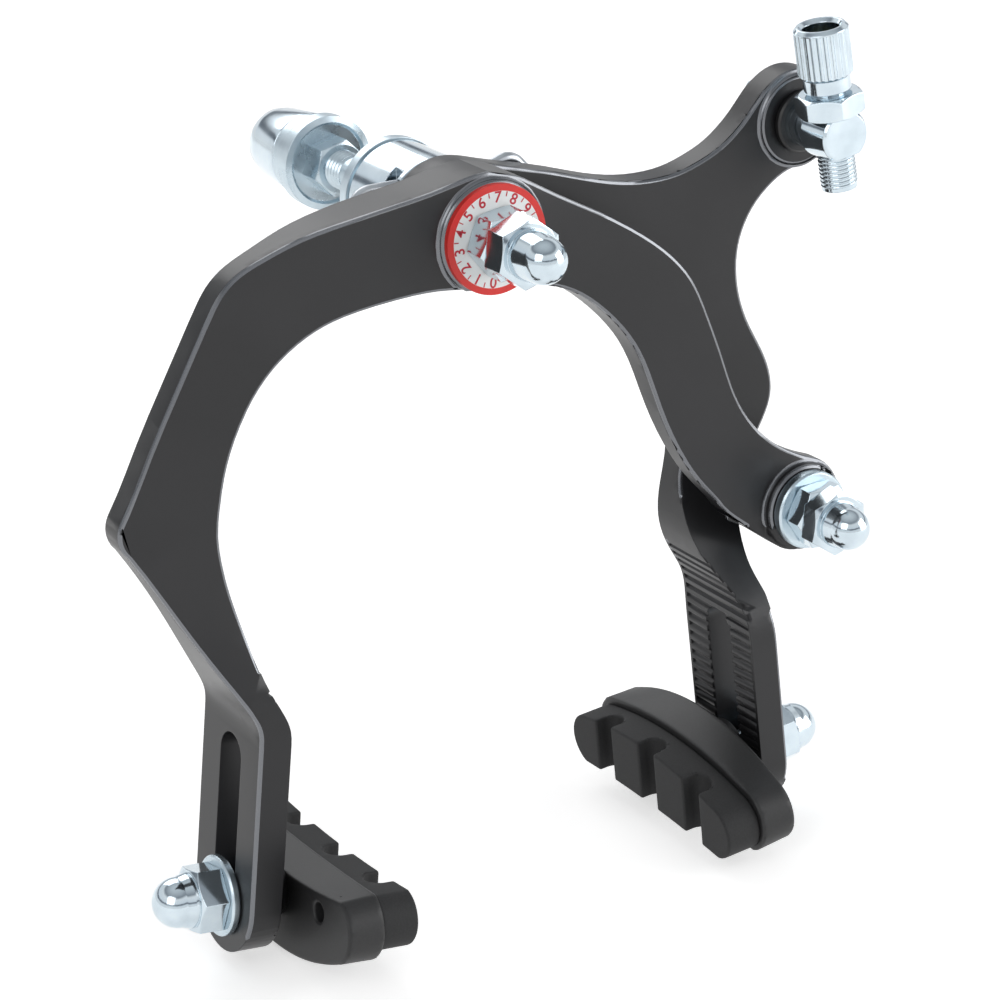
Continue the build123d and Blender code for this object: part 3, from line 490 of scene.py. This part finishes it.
ink_material, ink_shader = new_material("screen-printed red ink")
wire(ink_material, ink_shader, {"Base Color": linear("c42436"), "Roughness": 0.45})
print_skin = bmesh.new()
for number in range(10):
    text = bpy.data.curves.new("figure", "FONT")
    text.body = str(number)
    text.size = FIGURE_SIZE
    text.offset = STROKE_GROWTH
    text.align_x, text.align_y = "CENTER", "CENTER"
    text.extrude = INK
    holder = bpy.data.objects.new("figure", text)
    figure = bpy.data.meshes.new_from_object(holder)
    bpy.data.objects.remove(holder)
    turn = radians(FIRST_FIGURE + FIGURE_STEP * number)
    place = Vector((FIGURE_R * cos(turn), DIAL_FACE_Y, FIGURE_R * sin(turn)))
    figure.transform(Matrix.Translation(place) @ Matrix.Rotation(-turn + tau / 4, 4, "Y")
                     @ Matrix.Rotation(tau / 4, 4, "X"))
    print_skin.from_mesh(figure)
    between = turn + radians(FIGURE_STEP / 2)
    tick = bmesh.ops.create_cube(print_skin, size=1.0)["verts"]
    bmesh.ops.transform(print_skin, verts=tick, matrix=(
        Matrix.Translation((TICK_R * cos(between), DIAL_FACE_Y, TICK_R * sin(between)))
        @ Matrix.Rotation(-between, 4, "Y") @ Matrix.Diagonal((TICK_LENGTH, 2 * INK, TICK_WIDTH, 1))))
bmesh.ops.recalc_face_normals(print_skin, faces=print_skin.faces)
dial_print = add_piece("dial_print", print_skin, "bolt", "dial")
dial_print.data.materials[0] = ink_material
print("figures and ticks:", len(dial_print.data.polygons), "faces")

# %% [markdown]
# The camera stands where the photograph was taken from: turned 30 degrees to the left of the bolt, 21
# degrees above it and about half a metre away. Its three directions are worked out from those angles, and
# a small roll is added.

# %% Camera

PIVOT = Vector((0, -MOUNT_Y * MM, 0))    # on the bolt's axis, at the design's zero
view_turn, view_rise, view_roll = 0.52347, 0.37072, 0.03321
view_shift = Vector((-1.03978, 40.62233, 495.99157)) * MM    # of the pivot, to the right, up and ahead
LENS, SENSOR = 115.2, 36

right = Vector((cos(view_turn), -sin(view_turn), 0))
above = Vector((sin(view_turn) * sin(view_rise), cos(view_turn) * sin(view_rise), cos(view_rise)))
ahead = Vector((sin(view_turn) * cos(view_rise), cos(view_turn) * cos(view_rise), -sin(view_rise)))
rolled_right = right * cos(view_roll) - above * sin(view_roll)
rolled_above = right * sin(view_roll) + above * cos(view_roll)

camera_data = bpy.data.cameras.new("camera")
camera_data.lens = LENS
camera_data.sensor_width = SENSOR
camera = bpy.data.objects.new("camera", camera_data)
bpy.context.scene.collection.objects.link(camera)
eye = PIVOT - rolled_right * view_shift.x - rolled_above * view_shift.y - ahead * view_shift.z
axes = Matrix((rolled_right, rolled_above, -ahead)).transposed()
camera.matrix_world = Matrix.Translation(eye) @ axes.to_4x4()
bpy.context.scene.camera = camera
print("camera at", [round(c, 3) for c in eye])

# %% [markdown]
# The brake stands over a sheet of white paper that lies just under it. The sheet takes the brake's shadow,
# and it glows a little, for the eye and for mirrors alone, so that it comes out white without more light
# falling on the object.

# %% Floor

FLOOR_Z = cad_box[0][2] - 0.5 * MM
FLOOR_SIZE = 6          # metres from the middle to each side
PAPER_GLOW = 0.55

floor_mesh = bpy.data.meshes.new("floor")
sheet = bmesh.new()
bmesh.ops.create_grid(sheet, x_segments=1, y_segments=1, size=FLOOR_SIZE)
bmesh.ops.translate(sheet, verts=sheet.verts, vec=(0, 0, FLOOR_Z))
sheet.to_mesh(floor_mesh)
sheet.free()
floor = bpy.data.objects.new("floor", floor_mesh)
bpy.context.scene.collection.objects.link(floor)

paper, paper_shader = new_material("white paper")
wire(paper, paper_shader, {"Base Color": linear("f6f6f6"), "Roughness": 0.9})
glow = node(paper, "ShaderNodeEmission", {"Color": WHITE, "Strength": PAPER_GLOW})
path = node(paper, "ShaderNodeLightPath").outputs
seen = node(paper, "ShaderNodeMath", {0: path["Is Camera Ray"], 1: path["Is Glossy Ray"]}, operation="MAXIMUM")
glow_if_seen = node(paper, "ShaderNodeMixShader", {0: seen.outputs["Value"], 2: glow.outputs["Emission"]})
both = node(paper, "ShaderNodeAddShader", {0: paper_shader.outputs["BSDF"], 1: glow_if_seen.outputs["Shader"]})
wire(paper, paper.node_tree.nodes["Material Output"], {"Surface": both.outputs["Shader"]})
floor_mesh.materials.append(paper)
print("floor at", round(FLOOR_Z, 4))

# %% [markdown]
# The world is white to the eye and lights the brake softly from all sides. A mirror-like nut shows the room
# more than its own colour, so the world seen in reflections has a narrow dark band not far above the horizon
# and a wide grey one higher up, as in a studio with dark flags. They give the plating its contrast.

# %% World

ROOM_LIGHT, MIRROR_LIGHT = 0.34, 0.95
SKY_BANDS = [(0.0, WHITE), (0.16, (0.95, 0.97, 1, 1)), (0.2, (0.2, 0.22, 0.25, 1)), (0.27, (0.16, 0.17, 0.19, 1)),
             (0.31, (0.9, 0.93, 0.97, 1)), (0.62, WHITE), (0.72, (0.3, 0.32, 0.35, 1)), (1.0, (0.75, 0.78, 0.8, 1))]

world = bpy.data.worlds.new("studio")
bpy.context.scene.world = world
world.use_nodes = True
room = world.node_tree.nodes["Background"]
wire(world, room, {"Color": WHITE, "Strength": ROOM_LIGHT})
backdrop = node(world, "ShaderNodeBackground", {"Color": WHITE, "Strength": 1.0})
ray = node(world, "ShaderNodeLightPath").outputs
direction = node(world, "ShaderNodeTexCoord").outputs["Generated"]
height = node(world, "ShaderNodeSeparateXYZ", {0: direction})
bands = node(world, "ShaderNodeValToRGB", {"Fac": height.outputs["Z"]}, stops=SKY_BANDS)
mirrored = node(world, "ShaderNodeBackground", {"Color": bands.outputs["Color"], "Strength": MIRROR_LIGHT})
lit = node(world, "ShaderNodeMixShader", {0: ray["Is Glossy Ray"], 1: room.outputs["Background"],
                                          2: mirrored.outputs["Background"]})
seen_world = node(world, "ShaderNodeMixShader", {0: ray["Is Camera Ray"], 1: lit.outputs["Shader"],
                                                 2: backdrop.outputs["Background"]})
wire(world, world.node_tree.nodes["World Output"], {"Surface": seen_world.outputs["Shader"]})
print("world:", len(SKY_BANDS), "stops in the reflected sky")

# %% [markdown]
# Three large square lamps make the long soft highlights along the arms' edges: a key at the front right,
# only a little above the brake, a fill of half its power higher up at the front left, and a rim lamp behind.

# %% Lamps

MIDDLE = (0, -0.02, -0.04)     # what the lamps point at, in metres


def area_lamp(name, place, size, power):
    """A square soft lamp at a place, turned to the middle of the brake, all in metres and watts."""
    data = bpy.data.lights.new(name, "AREA")
    data.shape = "SQUARE"
    data.size = size
    data.energy = power
    lamp = bpy.data.objects.new(name, data)
    bpy.context.scene.collection.objects.link(lamp)
    aim = Vector(MIDDLE) - Vector(place)
    lamp.rotation_euler = aim.to_track_quat("-Z", "Y").to_euler()
    lamp.location = place
    print(name, power, "W")


area_lamp("right key", (1.1, -0.8, 0.35), 0.9, 9.0)
area_lamp("left fill", (-1.1, -0.7, 0.7), 0.9, 4.5)
area_lamp("back rim", (0.1, 1.0, 0.8), 0.8, 4.0)

bpy.context.scene.view_settings.view_transform = "Standard"
